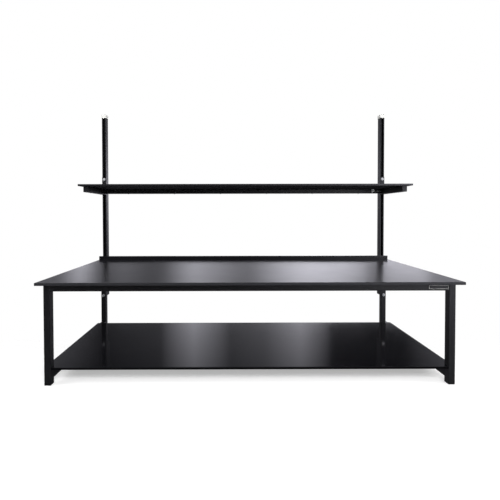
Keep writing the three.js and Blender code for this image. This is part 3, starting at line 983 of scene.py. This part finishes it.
studio = {
    "ambient": 0.16, "cardColour": "#f5f4ff", "cardClearance": 1.0,
    "floorColour": "#f0f0f0", "floorGlow": 0.42, "floorPoints": 64,
    "floorRadius": 9.0, "floorEdge": (4.0, 8.5), "floorBack": (-0.5, 0.5),  # metres
}
backWall = 14.0  # metres behind the bench's middle, where the windows that the boards mirror stand
frontWall = -12.0
cardRows = {  # metres: wall, bottom, top; then two heights, and the share of the tone at each
    "low": (backWall, -1.0, 3.9, 0.9, 3.9, 0.2, 1.38),
    "high": (backWall, 3.9, 16.0, 3.9, 7.5, 1.12, 0.58),
    "front": (frontWall, -1.0, 3.2),
    "frontHigh": (frontWall, 3.2, 16.0),
}
wallCards = {  # metres along the wall: left, right, and the tone at each
    # the worktop mirrors the low row, the deck the high one, and the front rows show from behind
    "low": {
        "far_left": (-16.0, -8.7, 0.20, 0.40), "window_left": (-8.7, -7.6, 0.40, 3.10),
        "window_left_side": (-7.6, -6.7, 2.60, 0.40), "left": (-6.7, -5.5, 0.36, 0.78),
        "left_side": (-5.5, -4.2, 0.78, 0.30), "pier_left": (-4.2, -3.4, 0.30, 0.28),
        "window_middle": (-3.4, -1.9, 0.30, 1.80), "middle": (-1.9, 0.8, 1.70, 0.70),
        "window_right": (0.8, 4.0, 0.72, 3.85), "right": (4.0, 5.5, 3.85, 3.75),
        "right_side": (5.5, 6.7, 3.75, 2.40),
        "pillar": (6.7, 7.5, 1.10, 1.10), "window_far_right": (7.5, 9.8, 3.20, 3.40),
        "far_right": (9.8, 16.0, 1.40, 0.30),
    },
    "high": {
        "high_far_left": (-16.0, -6.7, 1.05, 0.05), "high_left": (-6.7, -3.6, 0.05, 0.15),
        "high_window_left": (-3.6, -2.0, 0.18, 1.10),
        "high_middle_left": (-2.0, -0.2, 1.10, 0.25), "high_middle": (-0.2, 1.6, 0.22, 0.38),
        "high_window_right": (1.6, 3.4, 0.38, 1.00), "high_right_side": (3.4, 4.9, 1.00, 0.10),
        "high_right": (4.9, 8.6, 0.03, 0.02), "high_far_right": (8.6, 16.0, 0.02, 1.15),
    },
    "front": {
        "front_far_left": (-16.0, -4.0, 0.60, 0.05), "front_left": (-4.0, 0.5, 0.05, 0.08),
        "front_middle": (0.5, 3.0, 0.08, 0.80), "front_right": (3.0, 9.0, 0.80, 4.60),
        "front_far_right": (9.0, 16.0, 4.60, 1.00),
    },
    "frontHigh": {"front_high": (-16.0, 16.0, 0.45, 0.45)},
}
sideCards = {"side_left": (-16.0, 0.40), "side_right": (16.0, 0.40)}  # metres from the middle, tone
floorCards = {  # metres: left, right, front, back, and the tone at the left and at the right
    "floor_front_left": (-6.0, 1.0, -9.0, 0.95, 0.03, 0.10),
    "floor_front_right": (1.0, 6.0, -9.0, 0.95, 0.10, 0.38),
    "floor_behind_left": (-16.0, -1.2, 0.95, 14.0, 0.70, 0.27),
    "floor_behind_middle": (-1.2, 1.0, 0.95, 14.0, 0.27, 0.14),
    "floor_behind_right": (1.0, 16.0, 0.95, 14.0, 0.14, 0.70),
}
lamps = {  # metres and watts: place, aim, size, power; gloss mirrors the cards instead
    "front softbox": ((1.6, -8.5, 6.2), (0.1, -0.4, 0.6), (9.0, 2.8), 860),
    "left fill": ((-11.0, -3.0, 5.0), (0.0, 0.4, 1.8), (4.0, 4.0), 640),
    "right fill": ((11.0, -3.0, 5.0), (0.0, 0.4, 1.8), (4.0, 4.0), 500),
}


def seenRay(tree):  # 1 for what is looked at, straight or in a reflection or through glass
    path = addNode(tree, "ShaderNodeLightPath")
    seen = addNode(tree, "ShaderNodeMath", {"operation": "MAXIMUM"},
                   {0: path.outputs["Is Camera Ray"], 1: path.outputs["Is Glossy Ray"]})
    return addNode(tree, "ShaderNodeMath", {"operation": "MAXIMUM"},
                   {0: seen.outputs[0], 1: path.outputs["Is Transmission Ray"]}).outputs[0]


def addWorld():
    world = bpy.data.worlds.new("white studio")
    world.use_nodes = True
    world.cycles.sampling_method = "NONE"
    scene.world = world
    tree = world.node_tree
    tree.nodes.clear()
    ambient = addNode(tree, "ShaderNodeBackground", {"Color": (1, 1, 1, 1), "Strength": studio["ambient"]})
    white = addNode(tree, "ShaderNodeBackground", {"Color": (1, 1, 1, 1), "Strength": 1.0})
    mixed = addNode(tree, "ShaderNodeMixShader", None,
                    {0: seenRay(tree), 1: ambient.outputs[0], 2: white.outputs[0]})
    addNode(tree, "ShaderNodeOutputWorld", None, {"Surface": mixed.outputs[0]})


def floorMaterial():
    # matt painted floor: it keeps the soft shadow and fades into the white round it
    material = bpy.data.materials.new("pale studio floor")
    material.use_nodes = True
    tree = material.node_tree
    tree.nodes.clear()
    place = addNode(tree, "ShaderNodeTexCoord").outputs["Object"]
    reach = addNode(tree, "ShaderNodeVectorMath", {"operation": "LENGTH"}, {0: place})
    back = addNode(tree, "ShaderNodeSeparateXYZ", None, {0: place})
    fades = []
    for key, distance in (("floorEdge", reach.outputs["Value"]), ("floorBack", back.outputs["Y"])):
        near, far = studio[key]
        fade = addNode(tree, "ShaderNodeMapRange", {"interpolation_type": "SMOOTHSTEP", 1: near, 2: far},
                       {0: distance})
        fades.append(fade.outputs[0])
    fade = addNode(tree, "ShaderNodeMath", {"operation": "MAXIMUM"}, dict(enumerate(fades)))
    level = addNode(tree, "ShaderNodeMath", {"operation": "MULTIPLY", 1: studio["floorGlow"]},
                    {0: seenRay(tree)})
    paint = addNode(tree, "ShaderNodeBsdfDiffuse", {"Color": linear(studio["floorColour"])})
    glow = addNode(tree, "ShaderNodeEmission", {"Color": (1, 1, 1, 1)}, {"Strength": level.outputs[0]})
    lit = addNode(tree, "ShaderNodeAddShader", None, {0: paint.outputs[0], 1: glow.outputs[0]})
    clear = addNode(tree, "ShaderNodeBsdfTransparent")
    faded = addNode(tree, "ShaderNodeMixShader", None,
                    {0: fade.outputs[0], 1: lit.outputs[0], 2: clear.outputs[0]})
    addNode(tree, "ShaderNodeOutputMaterial", None, {"Surface": faded.outputs[0]})
    return material


def addStageMesh(name, points, material):
    data = bpy.data.meshes.new(name)
    data.from_pydata(points, [], [list(range(len(points)))])
    data.materials.append(material)
    made = bpy.data.objects.new(name, data)
    scene.collection.objects.link(made)
    return made


def addFloor():
    count = studio["floorPoints"]
    radius = studio["floorRadius"]
    turns = [2 * math.pi * i / count for i in range(count)]
    points = [(radius * math.cos(a), radius * math.sin(a), 0) for a in turns]
    addStageMesh("studio_floor", points, floorMaterial())


def addCard(name, points, tones, along="X", climb=None):  # seen only in reflections
    material = bpy.data.materials.new(f"{name} card")
    material.use_nodes = True
    tree = material.node_tree
    tree.nodes.clear()
    spot = addNode(tree, "ShaderNodeTexCoord").outputs["Object"]
    place = addNode(tree, "ShaderNodeSeparateXYZ", None, {0: spot})
    first, last = (point["XYZ".index(along)] for point in points[:2])
    tone = addNode(tree, "ShaderNodeMapRange", {1: first, 2: last, 3: tones[0], 4: tones[1]},
                   {0: place.outputs[along]})
    if climb:
        share = addNode(tree, "ShaderNodeMapRange", dict(enumerate(climb, 1)), {0: place.outputs["Z"]})
        tone = addNode(tree, "ShaderNodeMath", {"operation": "MULTIPLY"},
                       {0: tone.outputs[0], 1: share.outputs[0]})
    cloth = addNode(tree, "ShaderNodeEmission", {"Color": linear(studio["cardColour"])},
                    {"Strength": tone.outputs[0]})
    addNode(tree, "ShaderNodeOutputMaterial", None, {"Surface": cloth.outputs[0]})
    card = addStageMesh(f"{name}_card", points, material)
    card.visible_camera = False
    card.visible_diffuse = False
    card.visible_transmission = False
    card.visible_shadow = False


def addCards():
    for row, panes in wallCards.items():
        y, bottom, top, *climb = cardRows[row]
        for name, (left, right, *tones) in panes.items():
            points = [(left, y, bottom), (right, y, bottom), (right, y, top), (left, y, top)]
            addCard(name, points, tones, climb=climb)
    bottom, top = cardRows["low"][1], cardRows["high"][2]
    for name, (x, tone) in sideCards.items():
        points = [(x, frontWall, bottom), (x, backWall, bottom), (x, backWall, top), (x, frontWall, top)]
        addCard(name, points, (tone, tone), along="Y")
    z = studio["cardClearance"] * mm
    for name, (left, right, front, back, *tones) in floorCards.items():
        addCard(name, [(left, front, z), (right, front, z), (right, back, z), (left, back, z)], tones)


def addLamp(name, place, aim, size, power):
    data = bpy.data.lights.new(name, "AREA")
    data.shape = "RECTANGLE"
    data.size, data.size_y = size
    data.energy = power
    lamp = bpy.data.objects.new(name, data)
    scene.collection.objects.link(lamp)
    lamp.location = place
    lamp.rotation_euler = (Vector(aim) - Vector(place)).to_track_quat("-Z", "Y").to_euler()
    lamp.visible_camera = False
    lamp.visible_glossy = False


addWorld()
addFloor()
addCards()
for name, lamp in lamps.items():
    addLamp(name, *lamp)
scene.view_settings.view_transform = "Standard"
print("studio lit")
